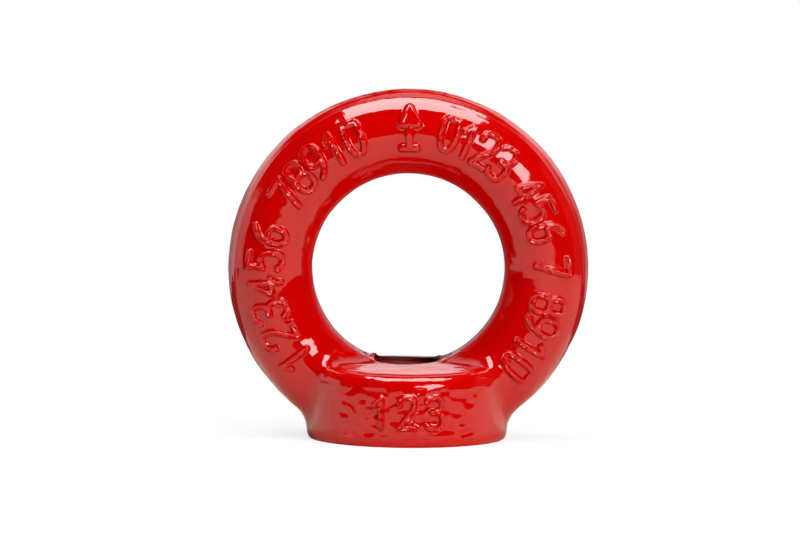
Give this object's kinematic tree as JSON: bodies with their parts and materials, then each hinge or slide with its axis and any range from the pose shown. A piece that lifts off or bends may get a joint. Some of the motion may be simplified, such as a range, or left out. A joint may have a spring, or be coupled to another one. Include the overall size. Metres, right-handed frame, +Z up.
{
  "type": "lifting eye nut",
  "caption": "Forged lifting eye nut: a round ring on a short round boss with a tapped M12 through hole and a flat seat underneath.",
  "frame": {"origin": "centre of the tapped hole at the flat seating face under the boss", "axes": "+Z runs up the tapped hole into the eye, +Y is the ring's own axis, the way a hook goes through, and +X lies across the ring in its plane"},
  "size_m": [0.054, 0.0302, 0.0526],
  "materials": {
    "red_enamel": "gloss enamel over drop-forged steel"
  },
  "bodies": {
    "root": {"eye_nut": "red_enamel"}
  },
  "joints": []
}
